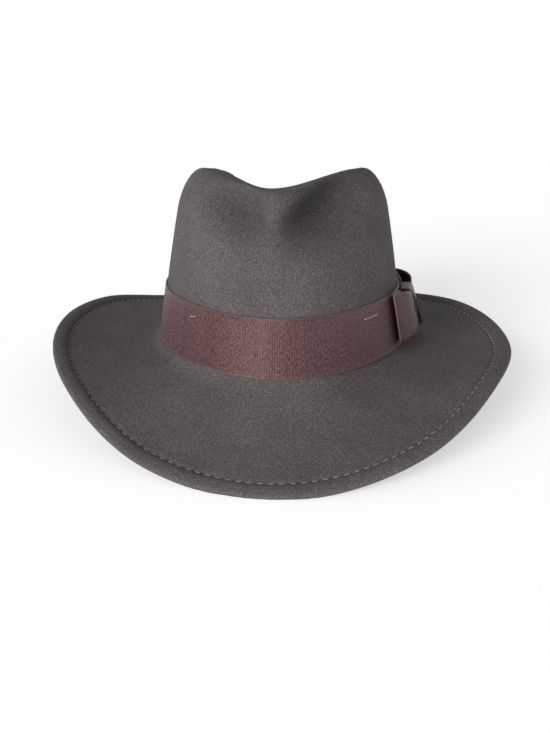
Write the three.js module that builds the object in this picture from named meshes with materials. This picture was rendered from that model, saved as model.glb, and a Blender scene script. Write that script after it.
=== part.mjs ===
// A plain felt fedora at its real size, in millimetres, with +Z up.
// It rests on the front and back of its brim, and its front faces -Y.
// The origin is on the surface below the middle of the brim.
// Five solids: the felt body, the ribbon around the crown, and the bow's two loops and knot.
import * as THREE from 'three';

// Felt body: the sizes of the crown are taken at the break, where it meets the brim.
// dentShift: sideways place of the centre dent as a share of the half width,
// dentSkew: width of the dent's right side as a share of its left side
const crownHalfWidth = 84.7;
const crownHalfLength = 104.1;
const crownHeight = 121.5;
const sideLeanDegrees = 8.8;
const endLeanDegrees = 12;
const crownSkewDegrees = 0.5;
const wallBulge = 1.2;
const ovalPull = 0.021;
const shoulderDrop = 26.6;
const shoulderStart = 0.822;
const dentShift = -0.067;
const dentSkew = 1.48;
const breakRadius = 9;
const feltThickness = 2.2;

// Brim and its edge, which is turned under and stitched down
const brimWidth = 79;
const brimCurlDegrees = 22;
const weltWidth = 12;
const weltThickness = 4.4;
const weltStep = 3;

// How the hat rests: the felt that reaches below the surface is pressed flat
const restPress = 2;
const restTiltLimit = 20;
const restTrials = 40;

// Ribbon around the crown
const ribbonWidth = 37.5;
const ribbonThickness = 1;
const ribbonRise = 3;
const seatGap = 0.35;

// Bow. bowNeck: height of a loop in the knot as a share of its stand, bowPinch: how far the knot narrows
// the loops, as a share, bowFlare: how far the top of the knot is pressed in, as a share,
// knotSlant: run along the ribbon for each millimetre up it
const bowAngleDegrees = -2;
const bowMiddle = ribbonWidth * 0.56;
const bowWidth = ribbonWidth * 0.94;
const bowNeck = 0.6;
const bowSwell = 0.9;
const bowRoundness = 0.65;
const bowPinch = 0.36;
const bowFlare = 0.53;
const knotWidth = 17;
const knotHeight = ribbonWidth * 0.82;
const knotEase = 0.3;
const knotRoundness = 0.35;
const knotSlant = 0.55;

// Loops of the bow. side: 1 runs to the front, taper: share of the stand that is gone at the loop's end
const frontReach = 42;
const frontStand = 11.5;
const backReach = 37;
const backStand = 11.5;
const frontLoop = { side: 1, reach: frontReach, stand: frontStand, taper: 0.54 };
const backLoop = { side: -1, reach: backReach, stand: backStand, taper: 0.2 };

// Rows and sides of the faceted skins
const columns = 72;
const crownRows = [0.14, 0.3, 0.45, 0.57, 0.66, 0.73];
const shoulderRows = 5;
const wallRows = 5;
const filletRows = 5;
const brimRows = 4;
const edgeRows = 2;
const ribbonRows = 6;
const rowCrowding = 1.7;
const bowRows = 4;
const bowSides = 26;
const knotRows = 3;
const knotSides = 24;

// Top of the crown from front to back.
// at: share of the crown half length, ridge: share of the crown height,
// dent: depth of the centre dent as a share of the height, span: its half width as a share of the half width
const crownTop = [
  { at: -0.85, ridge: 1.03, dent: 0.056, span: 0.7 },
  { at: -0.55, ridge: 1.022, dent: 0.107, span: 0.68 },
  { at: -0.15, ridge: 0.987, dent: 0.115, span: 0.52 },
  { at: 0.2, ridge: 0.932, dent: 0.181, span: 0.47 },
  { at: 0.5, ridge: 0.881, dent: 0.187, span: 0.43 },
  { at: 0.85, ridge: 0.793, dent: 0.135, span: 0.4 },
];

// Finger pinches in the front of the crown. turn: degrees from +X, lean: of the dent's length from upright
// towards +X, in degrees, height, wide, tall and deep: shares of the crown height
const pinches = [
  { turn: -117, height: 0.85, lean: -60, wide: 0.115, tall: 0.2, deep: 0.11 },
  { turn: -58, height: 0.86, lean: 66, wide: 0.11, tall: 0.28, deep: 0.125 },
];

// Brim, every 30 degrees from +X through the back. width: share of the brim width, dip: mean fall in degrees
const brimShape = [
  { turn: 0, width: 0.948, dip: 0.8 },
  { turn: 30, width: 0.966, dip: -0.5 },
  { turn: 60, width: 0.988, dip: 6 },
  { turn: 90, width: 0.996, dip: 10.2 },
  { turn: 120, width: 0.988, dip: 8.8 },
  { turn: 150, width: 0.969, dip: -3.3 },
  { turn: 180, width: 0.944, dip: -4.9 },
  { turn: 210, width: 0.958, dip: 6 },
  { turn: 240, width: 1.015, dip: 27.4 },
  { turn: 270, width: 1.041, dip: 33.3 },
  { turn: 300, width: 1.011, dip: 22.3 },
  { turn: 330, width: 0.96, dip: 2.4 },
  { turn: 360, width: 0.948, dip: 0.8 },
];

const { PI, cos, sin, tan, sqrt, abs, min, max, hypot } = Math;
const radians = THREE.MathUtils.degToRad;

// Smooth curve through one column of a table, read at a value of its first column
function readTable(rows, key, column, at, loops = false) {
  const last = rows.length - 1;
  const value = (i) => {
    if (loops) return rows[(i + last) % last][column];
    return rows[min(max(i, 0), last)][column];
  };
  const place = THREE.MathUtils.clamp(at, rows[0][key], rows[last][key]);
  let i = 0;
  while (i < last - 1 && place > rows[i + 1][key]) i += 1;
  const t = (place - rows[i][key]) / (rows[i + 1][key] - rows[i][key]);
  const [a, b, c, d] = [value(i - 1), value(i), value(i + 1), value(i + 2)];
  return b + 0.5 * t * (c - a + t * (2 * a - 5 * b + 4 * c - d + t * (3 * (b - c) + d - a)));
}

// Horizontal section of the crown wall at a height above the break
function crownRing(turn, height, share = 1) {
  const pull = 1 - ovalPull * (1 - cos(4 * turn));
  const bulge = wallBulge * sin((PI * height) / crownHeight);
  const halfWidth = (crownHalfWidth + bulge - height * tan(radians(sideLeanDegrees))) * pull * share;
  const halfLength = (crownHalfLength + bulge - height * tan(radians(endLeanDegrees))) * pull * share;
  const skew = height * tan(radians(crownSkewDegrees));
  return new THREE.Vector3(halfWidth * cos(turn) + skew, halfLength * sin(turn), height);
}

// Level direction that points out of the oval at a turn
function outward(turn) {
  const across = cos(turn) / crownHalfWidth;
  const along = sin(turn) / crownHalfLength;
  return new THREE.Vector3(across, along, 0).normalize();
}

// Height of the crown top before its shoulder falls away
function topHeight(x, y) {
  const at = y / crownHalfLength;
  const ridge = readTable(crownTop, 'at', 'ridge', at) * crownHeight;
  const dent = readTable(crownTop, 'at', 'dent', at) * crownHeight;
  const span = readTable(crownTop, 'at', 'span', at) * crownHalfWidth;
  const aside = x - dentShift * crownHalfWidth;
  const offCentre = min(abs(aside) / (span * (aside > 0 ? dentSkew : 1)), 1);
  return ridge - dent * cos((offCentre * PI) / 2) ** 2;
}

// Pushes a point of the crown in where the front is pinched
function pinch(point) {
  const push = new THREE.Vector3();
  for (const row of pinches) {
    const turn = radians(row.turn);
    const centre = crownRing(turn, row.height * crownHeight);
    const away = outward(turn);
    const offset = point.clone().sub(centre);
    const [sideways, upward] = [away.clone().cross(offset).z, offset.z];
    const [c, s] = [cos(radians(row.lean)), sin(radians(row.lean))];
    const over = (sideways * c - upward * s) / (row.wide * crownHeight);
    const along = (sideways * s + upward * c) / (row.tall * crownHeight);
    const inward = offset.dot(away) / (row.tall * crownHeight);
    const strength = Math.exp(-(over ** 2) - along ** 2 - inward ** 2);
    push.addScaledVector(away, -row.deep * crownHeight * strength);
  }
  return point.add(push);
}

// Point of the crown top; share runs from 0 at the middle to shoulderStart
function crownTopPoint(turn, share) {
  const guess = crownRing(turn, crownHeight, share);
  const height = topHeight(guess.x, guess.y);
  return pinch(crownRing(turn, height, share));
}

// Point of the rounded shoulder; fall runs from 0 at the top to 1 at the wall
function shoulderPoint(turn, fall) {
  const angle = (fall * PI) / 2;
  const share = shoulderStart + (1 - shoulderStart) * sin(angle);
  const guess = crownRing(turn, crownHeight, share);
  const height = topHeight(guess.x, guess.y) - shoulderDrop * (1 - cos(angle));
  return pinch(crownRing(turn, height, share));
}

// Point of the wall between the shoulder and the fillet at the break
function wallPoint(turn, fall) {
  const guess = crownRing(turn, crownHeight);
  const top = topHeight(guess.x, guess.y) - shoulderDrop;
  return pinch(crownRing(turn, top + (breakRadius - top) * fall));
}

function brimAt(turn) {
  const degrees = ((THREE.MathUtils.radToDeg(turn) % 360) + 360) % 360;
  return {
    width: readTable(brimShape, 'turn', 'width', degrees, true) * brimWidth,
    dip: radians(readTable(brimShape, 'turn', 'dip', degrees, true)),
  };
}

// Point of the brim's upper face at a reach from the break; the fall lessens towards the edge
function brimPoint(turn, reach) {
  const { width, dip } = brimAt(turn);
  const curl = radians(brimCurlDegrees) / width;
  const root = dip + (curl * width) / 2;
  const end = root - curl * reach;
  const out = (sin(root) - sin(end)) / curl;
  const down = (cos(end) - cos(root)) / curl;
  const point = crownRing(turn, 0).addScaledVector(outward(turn), out);
  point.z = -down;
  return point;
}

// Point of the fillet between the wall and the brim; part runs from 0 at the wall to 1 at the brim
function filletPoint(turn, part) {
  const high = crownRing(turn, breakRadius).multiplyScalar((1 - part) ** 2);
  const corner = crownRing(turn, 0).multiplyScalar(2 * part * (1 - part));
  return high.add(corner).addScaledVector(brimPoint(turn, breakRadius), part ** 2);
}

// Outside of the felt at a height above the break, on the fillet or the wall over it
function feltAtHeight(turn, height) {
  if (height >= breakRadius) return pinch(crownRing(turn, height));
  const level = (breakRadius - height) / breakRadius;
  const fall = -brimPoint(turn, breakRadius).z / breakRadius;
  const part = (1 - sqrt(1 - (1 - fall) * level)) / (1 - fall);
  return filletPoint(turn, part);
}

// Closed body from rows of points, each row once around; ends may be a single point
function skin(rows) {
  const positions = [];
  const starts = [];
  for (const row of rows) {
    starts.push(positions.length / 3);
    for (const point of row) positions.push(point.x, point.y, point.z);
  }
  const index = [];
  for (let r = 0; r < rows.length - 1; r += 1) {
    const upper = rows[r].length;
    const lower = rows[r + 1].length;
    const sides = max(upper, lower);
    for (let c = 0; c < sides; c += 1) {
      const next = (c + 1) % sides;
      const a = starts[r] + (upper > 1 ? c : 0);
      const b = starts[r] + (upper > 1 ? next : 0);
      const d = starts[r + 1] + (lower > 1 ? c : 0);
      const e = starts[r + 1] + (lower > 1 ? next : 0);
      if (lower > 1) index.push(a, d, e);
      if (upper > 1) index.push(a, e, b);
    }
  }
  const geometry = new THREE.BufferGeometry();
  geometry.setAttribute('position', new THREE.Float32BufferAttribute(positions, 3));
  geometry.setIndex(index);
  return geometry;
}

function turns() {
  return Array.from({ length: columns }, (_, c) => (2 * PI * c) / columns);
}

// Rows of the felt's outside from the middle of the crown to the brim's edge, and the depth below each
function feltRows() {
  const rows = [{ points: [crownTopPoint(0, 0)], depth: feltThickness }];
  const add = (make, depth = feltThickness) => rows.push({ points: turns().map(make), depth });
  for (const share of crownRows) add((turn) => crownTopPoint(turn, share));
  for (let i = 1; i <= shoulderRows; i += 1) add((turn) => shoulderPoint(turn, i / shoulderRows));
  for (let i = 1; i <= wallRows; i += 1) add((turn) => wallPoint(turn, i / wallRows));
  for (let i = 1; i <= filletRows; i += 1) add((turn) => filletPoint(turn, i / filletRows));
  const flat = (turn) => brimAt(turn).width - weltWidth - weltStep;
  for (let i = 1; i <= brimRows; i += 1) {
    add((turn) => brimPoint(turn, breakRadius + ((flat(turn) - breakRadius) * i) / brimRows));
  }
  const weltRun = weltWidth - weltThickness / 2;
  for (let i = 0; i <= edgeRows; i += 1) {
    add((turn) => brimPoint(turn, flat(turn) + weltStep + (weltRun * i) / edgeRows), weltThickness);
  }
  return rows;
}

// The felt body: the outer rows, a rounded edge, and the same rows set in by the felt's thickness
function feltGeometry() {
  const rows = feltRows();
  const sheet = skin(rows.map((row) => row.points));
  sheet.computeVertexNormals();
  const normals = sheet.getAttribute('normal');
  let vertex = 0;
  const inside = rows.map((row) => row.points.map((point) => {
    const normal = new THREE.Vector3().fromBufferAttribute(normals, vertex);
    vertex += 1;
    return point.clone().addScaledVector(normal, -row.depth);
  }));
  const upper = rows[rows.length - 1].points;
  const lower = inside[rows.length - 1];
  const edge = upper.map((point, c) => {
    const turn = (2 * PI * c) / columns;
    const middle = point.clone().add(lower[c]).multiplyScalar(0.5);
    const across = point.clone().sub(lower[c]);
    const along = new THREE.Vector3(-outward(turn).y, outward(turn).x, 0);
    return { middle, across, out: along.cross(across).normalize() };
  });
  const round = [45, 0, -45].map((degrees) => edge.map(({ middle, across, out }) => {
    const angle = radians(degrees);
    const point = middle.clone().addScaledVector(across, sin(angle) / 2);
    return point.addScaledVector(out, (cos(angle) * weltThickness) / 2);
  }));
  return skin([...rows.map((row) => row.points), ...round, ...inside.reverse()]);
}

// The ribbon: a ring that follows the felt with the seat gap
function ribbonGeometry() {
  const rise = ribbonWidth * cos(radians((sideLeanDegrees + endLeanDegrees) / 2));
  const ring = (share, out) => turns().map((turn) => {
    const height = ribbonRise + rise * share ** rowCrowding;
    return feltAtHeight(turn, height).addScaledVector(outward(turn), out);
  });
  const inner = [];
  const outer = [];
  for (let i = 0; i <= ribbonRows; i += 1) {
    inner.push(ring(i / ribbonRows, seatGap));
    outer.unshift(ring(i / ribbonRows, seatGap + ribbonThickness));
  }
  return skin([...outer, ...inner, outer[0]]);
}

// Turn at a distance along the ribbon from the bow's middle; plus is towards the front
function turnAlong(distance) {
  const steps = 12;
  let turn = radians(bowAngleDegrees);
  for (let i = 0; i < steps; i += 1) {
    const speed = hypot(crownHalfWidth * sin(turn), crownHalfLength * cos(turn));
    turn -= distance / steps / speed;
  }
  return turn;
}

// Places a point on the ribbon: x along it, y out from it, z up it
function ontoRibbon(x, y, z) {
  const turn = turnAlong(x);
  const height = ribbonRise + z * cos(radians(sideLeanDegrees));
  return feltAtHeight(turn, height).addScaledVector(outward(turn), 2 * seatGap + ribbonThickness + y);
}

// Rounds a cosine or sine so that an oval made with it has fuller corners
function fuller(value, roundness = bowRoundness) {
  return Math.sign(value) * abs(value) ** roundness;
}

// Height of a loop's outer face above its base at a share of its length from the knot
function loopHeight(loop, share) {
  const run = min(share, 1);
  const swell = bowNeck + (1 - bowNeck) * fuller(sin(PI * run ** bowSwell));
  return loop.stand * (1 - loop.taper * run) * swell;
}

// Share of its height that the bow keeps where the knot's top is pressed in
function standAt(x, z) {
  return 1 - bowFlare * (z / ribbonWidth) * Math.exp(-((x / knotWidth) ** 2));
}

// Closed oval of a loop seen from above, at a height up the ribbon; inset moves it in by the thickness
function loopOutline(loop, z, inset) {
  const start = seatGap / 2 + inset;
  const length = loop.reach - inset - start;
  return Array.from({ length: bowSides }, (_, i) => {
    const [run, rise] = [cos, sin].map((wave) => 0.5 + 0.5 * fuller(wave((2 * PI * i) / bowSides)));
    const x = start + length * run;
    const height = loopHeight(loop, run) * standAt(x, z) - 2 * inset;
    return new THREE.Vector2(x, inset + height * rise);
  });
}

// Moves the middle of the bow along the ribbon with height, so that the knot slants
function slantBow(x, z) {
  return x - knotSlant * (bowMiddle - z) * Math.exp(-((x / frontLoop.reach) ** 2));
}

// One ribbon loop, open at its top and bottom and narrowed at the knot
function loopGeometry(loop) {
  const ring = (share, inset) => {
    const level = (share - 0.5) * bowWidth;
    const outline = loopOutline(loop, bowMiddle + level, inset).map((spot) => {
      const narrow = 1 - bowPinch * Math.exp(-((spot.x / knotWidth) ** 2));
      const z = bowMiddle + level * narrow;
      return ontoRibbon(slantBow(loop.side * spot.x, z), spot.y + ribbonThickness + seatGap, z);
    });
    return loop.side < 0 ? outline.reverse() : outline;
  };
  const outer = [];
  const inner = [];
  for (let i = 0; i <= bowRows; i += 1) {
    outer.unshift(ring(i / bowRows, 0));
    inner.push(ring(i / bowRows, ribbonThickness));
  }
  return skin([...outer, ...inner, outer[0]]);
}

// The knot: a strip of ribbon wound once around the ends of the loops
function knotGeometry() {
  const heights = [frontLoop, backLoop].map((loop) => loopHeight(loop, knotWidth / 2 / loop.reach));
  const reachUp = knotHeight / 2 / (1 - bowPinch);
  const ring = (share, inset) => Array.from({ length: knotSides }, (_, i) => {
    const [x, angle] = [(share - 0.5) * knotWidth, (2 * PI * i) / knotSides];
    const [out, up] = [cos(angle), sin(angle)].map((value) => fuller(value, knotRoundness));
    const loops = max(...heights) * standAt(x, bowMiddle + reachUp * up);
    const stand = 2 * (ribbonThickness + seatGap) + loops + knotEase;
    const z = bowMiddle + (knotHeight / 2 - inset) * up;
    return ontoRibbon(slantBow(x, z), stand / 2 + (stand / 2 - inset) * out, z);
  });
  const outer = [];
  const inner = [];
  for (let i = 0; i <= knotRows; i += 1) {
    outer.unshift(ring(i / knotRows, 0));
    inner.push(ring(i / knotRows, ribbonThickness));
  }
  return skin([...outer, ...inner, outer[0]]);
}

// Height of the lowest point of the front or back half after a tilt; side is -1 for the front, 1 for the back
function lowest(felt, tilt, side) {
  const position = felt.getAttribute('position');
  let low = Infinity;
  for (let i = 0; i < position.count; i += 1) {
    const [y, z] = [position.getY(i), position.getZ(i)];
    if (y * side > 0) low = min(low, z * cos(tilt) - y * sin(tilt));
  }
  return low;
}

// Tilt at which the front and back of the brim rest on the same level
function findRestTilt(felt) {
  let less = -radians(restTiltLimit);
  let more = radians(restTiltLimit);
  for (let i = 0; i < restTrials; i += 1) {
    const tilt = (less + more) / 2;
    if (lowest(felt, tilt, -1) < lowest(felt, tilt, 1)) less = tilt;
    else more = tilt;
  }
  return (less + more) / 2;
}

// Rest pose of the whole hat: tilted back, centred, and pressed lightly onto the surface
function restPose(felt) {
  const tilt = findRestTilt(felt);
  const tilted = felt.clone().applyMatrix4(new THREE.Matrix4().makeRotationX(-tilt));
  tilted.computeBoundingBox();
  const { min: low, max: high } = tilted.boundingBox;
  const [x, y, z] = [-(low.x + high.x) / 2, -(low.y + high.y) / 2, -low.z - restPress];
  return new THREE.Matrix4().makeTranslation(x, y, z).multiply(new THREE.Matrix4().makeRotationX(-tilt));
}

// Flattens the felt where it meets the surface
function flatten(geometry) {
  const position = geometry.getAttribute('position');
  for (let i = 0; i < position.count; i += 1) position.setZ(i, max(position.getZ(i), 0));
  return geometry;
}

const feltMaterial = new THREE.MeshStandardMaterial({ color: 0x4a4443, roughness: 0.95, metalness: 0 });
const ribbonMaterial = new THREE.MeshStandardMaterial({ color: 0x563f3e, roughness: 0.6, metalness: 0 });

const felt = feltGeometry();
const pose = restPose(felt);

function addPiece(group, name, geometry, material) {
  const mesh = new THREE.Mesh(geometry.applyMatrix4(pose), material);
  mesh.name = name;
  group.add(mesh);
  return mesh;
}

const fedora = new THREE.Group();
flatten(addPiece(fedora, 'crown_and_brim', felt, feltMaterial).geometry);
addPiece(fedora, 'ribbon_band', ribbonGeometry(), ribbonMaterial);
addPiece(fedora, 'bow_front_loop', loopGeometry(frontLoop), ribbonMaterial);
addPiece(fedora, 'bow_back_loop', loopGeometry(backLoop), ribbonMaterial);
addPiece(fedora, 'bow_knot', knotGeometry(), ribbonMaterial);

export default fedora;
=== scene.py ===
"""Felt fedora: the felt, its stitched brim, the ribbed ribbon with its bow, and a plain studio around it."""

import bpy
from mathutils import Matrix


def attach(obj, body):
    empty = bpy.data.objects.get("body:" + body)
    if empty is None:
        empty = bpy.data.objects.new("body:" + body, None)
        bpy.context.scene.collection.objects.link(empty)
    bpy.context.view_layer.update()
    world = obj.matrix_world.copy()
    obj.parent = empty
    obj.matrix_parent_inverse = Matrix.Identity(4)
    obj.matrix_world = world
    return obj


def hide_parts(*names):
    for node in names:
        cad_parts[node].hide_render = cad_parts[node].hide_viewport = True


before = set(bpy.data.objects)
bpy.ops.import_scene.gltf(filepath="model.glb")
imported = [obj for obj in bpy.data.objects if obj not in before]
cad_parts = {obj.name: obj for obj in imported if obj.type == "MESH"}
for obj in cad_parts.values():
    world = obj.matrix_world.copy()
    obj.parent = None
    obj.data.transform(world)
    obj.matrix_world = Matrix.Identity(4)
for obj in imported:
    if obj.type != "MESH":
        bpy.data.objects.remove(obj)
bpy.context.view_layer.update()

import random
from math import cos, pi, radians, sin, tan

import bmesh
import bpy
import numpy as np
from bpy.props import FloatProperty, FloatVectorProperty, IntProperty, PointerProperty
from mathutils import Matrix, Vector

bl_info = {
    "name": "Felt Fedora",
    "version": (1, 0, 0),
    "blender": (4, 5, 0),
    "location": "View3D > Sidebar > Fedora",
    "description": "Builds a felt fedora with a stitched brim, a ribbed ribbon and a side bow",
    "category": "Add Mesh",
}

# Top of the crown from front to back. Columns: place as a share of the half length, height of the ridge and
# depth of the centre dent as shares of the crown height, half width of the dent as a share of the half width
CROWN_TOP = np.array([
    (-0.85, 1.03, 0.056, 0.7),
    (-0.55, 1.022, 0.107, 0.68),
    (-0.15, 0.987, 0.115, 0.52),
    (0.2, 0.932, 0.181, 0.47),
    (0.5, 0.881, 0.187, 0.43),
    (0.85, 0.793, 0.135, 0.4),
])

# Finger pinches. Columns: degrees from +X, height as a share of the crown height, lean of the dent in degrees
# from upright towards +X, then its width, length and depth as shares of the crown height
PINCHES = ((-118, 0.84, -58, 0.125, 0.21, 0.16), (-58, 0.83, 70, 0.12, 0.3, 0.24))

# Darkening of the felt in and around the pinches, a stand-in for shade that the dents' shape doesn't give.
# Columns: as above, but the last one is the share of the brightness that is taken away
DENT_SHADE = (
    (-119, 0.84, -58, 0.11, 0.22, 0.32),
    (-60, 0.86, 68, 0.1, 0.29, 0.68),
    (-42, 0.93, 70, 0.18, 0.28, 0.26),
)

# Thread tacks on the ribbon: degrees from +X of their two ends, and shares up the ribbon of their two ends
TACKS = (((-47.8, -39.2), (0.78, 0.78)), ((-138.6, -136.0), (0.77, 0.8)))
TACK_POINTS = 9

# Brim from +X through the back. Columns: degrees, share of the brim width, mean fall in degrees
BRIM_SHAPE = np.array([
    (0, 0.948, 0.8),
    (30, 0.966, -0.5),
    (60, 0.988, 6),
    (90, 0.996, 10.2),
    (120, 0.988, 8.8),
    (150, 0.969, -3.3),
    (180, 0.944, -4.9),
    (210, 0.958, 6),
    (240, 1.015, 27.4),
    (270, 1.041, 33.3),
    (300, 1.011, 22.3),
    (330, 0.96, 2.4),
    (360, 0.948, 0.8),
])

# Rows of the felt's mesh: shares of the crown's section on its top, counts for its shoulder, wall, curve and
# brim, distances from the brim's edge, and degrees around it. FAR marks the rows away from the edge
TOP_ROWS = (0.07, 0.15, 0.24, 0.33, 0.42, 0.5, 0.575, 0.64, 0.69)
SHOULDER_ROWS = 8
WALL_ROWS = 13
FILLET_ROWS = 7
BRIM_ROWS = 9
EDGE_ROWS = (
    0.0152, 0.0140, 0.0130, 0.0122, 0.0115, 0.0109, 0.0103, 0.0097, 0.0088, 0.0076, 0.0062, 0.0048, 0.0034,
)
RIM_ANGLES = (66, 44, 22, 0, -22, -44, -66)
FAR = 1.0

# Half width of a stitch hole along the line, as a share of the pitch, and across it on the under face, in
# metres, and the width over which the felt thickens to its turned edge
HOLE_WIDTH = 0.16
UNDER_HOLE_WIDTH = 0.002
FLAP_STEP = 0.0004

# Columns of the ribbon's mesh for each rib, rows across a ribbon and across the knot, and how strongly the
# rows around the crown crowd towards the ribbon's lower edge
RIB_COLUMNS = 4
RIBBON_ROWS = 12
KNOT_ROWS = 8
ROW_CROWDING = 1.4


def length(name, description, default):
    """A size in metres"""
    return FloatProperty(name=name, description=description, default=default, unit="LENGTH", precision=5)


def angle(name, description, degrees):
    """An angle, given in degrees"""
    return FloatProperty(name=name, description=description, default=radians(degrees), subtype="ANGLE")


def share(name, description, default):
    """A plain number"""
    return FloatProperty(name=name, description=description, default=default, precision=4)


def colour(name, description, default):
    """A linear colour"""
    return FloatVectorProperty(name=name, description=description, default=default, size=3, subtype="COLOR")


class FeltSizes(bpy.types.PropertyGroup):
    """Sizes of the felt, taken at the break where the crown meets the brim"""
    crown_half_width: length("Crown half width", "Half width of the crown at the break", 0.0847)
    crown_half_length: length("Crown half length", "Half length of the crown at the break", 0.1041)
    crown_height: length("Crown height", "Height of the crown over the break", 0.1215)
    side_lean: angle("Side lean", "Inward lean of the crown's sides", 8.8)
    end_lean: angle("End lean", "Inward lean of the crown's front and back", 12)
    crown_skew: angle("Crown skew", "Sideways lean of the whole crown", 0.5)
    wall_bulge: length("Wall bulge", "Bulge of the crown wall at its middle", 0.0012)
    oval_pull: share("Oval pull", "How far the oval is pulled in between its axes", 0.021)
    shoulder_drop: length("Shoulder drop", "Height of the rounded shoulder", 0.0266)
    shoulder_start: share("Shoulder start", "Where the shoulder starts, as a share of the half width", 0.822)
    dent_shift: share("Dent shift", "Sideways place of the centre dent, as a share of the half width", -0.067)
    dent_skew: share("Dent skew", "Width of the dent's right side as a share of its left side", 1.48)
    break_radius: length("Break radius", "Size of the curve between crown and brim", 0.009)
    thickness: length("Felt thickness", "Thickness of the felt", 0.0022)
    brim_width: length("Brim width", "Width of the brim", 0.079)
    brim_curl: angle("Brim curl", "How much the brim's fall lessens towards its edge", 22)
    edge_thickness: length("Edge thickness", "Thickness of the turned edge", 0.0044)
    flap_width: length("Flap width", "Width of the felt turned under at the edge", 0.0142)
    groove_depth: length("Groove depth", "Depth of the stitched groove", 0.0008)
    groove_width: length("Groove width", "Half width of the stitched groove", 0.0012)
    edge_puff: length("Edge puff", "How far the turned edge puffs up", 0.0017)
    pucker: length("Pucker", "Extra depth where the thread goes through", 0.00028)
    rest_tilt: angle("Rest tilt", "Tilt of the hat as it rests on its brim", 4.913355)
    rest_place: FloatVectorProperty(
        name="Rest place", description="Place of the break's middle when the hat rests", size=3,
        default=(-0.000178, -0.002048, 0.031702), subtype="TRANSLATION", precision=6)


class StitchSizes(bpy.types.PropertyGroup):
    """Sizes of the brim's running stitch and of the ribbon's thread tacks"""
    edge_distance: length("Edge distance", "Distance of the stitches from the brim's edge", 0.0109)
    pitch: length("Pitch", "Distance from one stitch to the next", 0.0064)
    thread: length("Thread", "Thickness of the thread", 0.00043)
    seen: share("Seen share", "Share of the pitch that shows on the upper face", 0.6)
    tack_thread: length("Tack thread", "Thickness of the tacks' thread", 0.0004)
    tack_knot: length("Tack knot", "Size of the knots at the tacks' ends", 0.0009)
    columns: IntProperty(name="Columns", description="Columns of felt for each stitch", default=5, min=3)
    seed: IntProperty(name="Seed", description="Seed of the small differences between stitches", default=7)


class RibbonSizes(bpy.types.PropertyGroup):
    """Sizes of the ribbon around the crown"""
    width: length("Ribbon width", "Height of the ribbon up the crown", 0.0375)
    rise: length("Ribbon rise", "Height of the ribbon's lower edge over the break", 0.003)
    seat: length("Seat", "Gap between the felt and the ribbon", 0.0004)
    thickness: length("Ribbon thickness", "Thickness of the ribbon", 0.0008)
    rib_pitch: length("Rib pitch", "Distance from one rib to the next", 0.0015)
    rib_depth: length("Rib depth", "Depth of the grooves between ribs", 0.00008)
    thread_pitch: length("Thread pitch", "Distance from one thread to the next across the ribbon", 0.00062)


class BowSizes(bpy.types.PropertyGroup):
    """Sizes of the bow: two loops of ribbon held by a knot"""
    turn: angle("Bow turn", "Place of the bow around the crown", -2)
    lift: length("Lift", "Distance of the bow's base from the felt", 0.0017)
    middle: length("Middle", "Height of the bow's middle over the ribbon's lower edge", 0.021)
    front_reach: length("Front reach", "Length of the front loop", 0.042)
    front_stand: length("Front stand", "How far the front loop stands out", 0.0115)
    front_taper: share("Front taper", "Share of the stand that is gone at the front loop's end", 0.54)
    back_reach: length("Back reach", "Length of the back loop", 0.037)
    back_stand: length("Back stand", "How far the back loop stands out", 0.0115)
    back_taper: share("Back taper", "Share of the stand that is gone at the back loop's end", 0.2)
    width: length("Loop width", "Width of the loops", 0.03525)
    loop_seat: length("Loop seat", "Distance of the loops from the bow's base", 0.00135)
    neck: share("Neck", "Height of a loop in the knot as a share of its stand", 0.6)
    swell: share("Swell", "Where a loop is fullest", 0.9)
    roundness: share("Roundness", "How round a loop's outline is", 0.65)
    narrowing: share("Narrowing", "How much the knot narrows the loops", 0.36)
    flare: share("Flare", "How far the top of the knot is pressed in", 0.53)
    knot_width: length("Knot width", "Width of the knot", 0.017)
    knot_height: length("Knot height", "Height of the knot", 0.03075)
    knot_gap: length("Knot gap", "Distance of each loop's inner end from the bow's middle", 0.0002)
    knot_ease: length("Knot ease", "Room between the loops and the knot", 0.0012)
    knot_roundness: share("Knot roundness", "How round the knot's outline is", 0.35)
    knot_slant: share("Knot slant", "Run of the knot along the ribbon for each unit up it", 0.55)


class HatColours(bpy.types.PropertyGroup):
    """Colours of the felt, the ribbon and the thread"""
    felt: colour("Felt", "Main colour of the felt", (0.105, 0.0935, 0.0925))
    felt_dark: colour("Felt dark", "Dark fibres of the felt", (0.052, 0.045, 0.044))
    felt_light: colour("Felt light", "Light fibres of the felt", (0.195, 0.176, 0.174))
    ribbon: colour("Ribbon", "Main colour of the ribbon", (0.102, 0.049, 0.050))
    # Painted shade: the ribbon is darker in the grooves between its ribs
    ribbon_groove_shade: colour("Ribbon dark", "Ribbon between its ribs", (0.062, 0.029, 0.029))
    # Selvedge colour, also used for the painted highlight on the ribbon's folds
    selvedge: colour("Selvedge", "Pale edges and folds of the ribbon", (0.21, 0.135, 0.13))
    thread: colour("Thread", "Colour of the stitches", (0.56, 0.52, 0.48))
    lint: colour("Lint", "Colour of the lint specks", (0.42, 0.40, 0.38))


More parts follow.
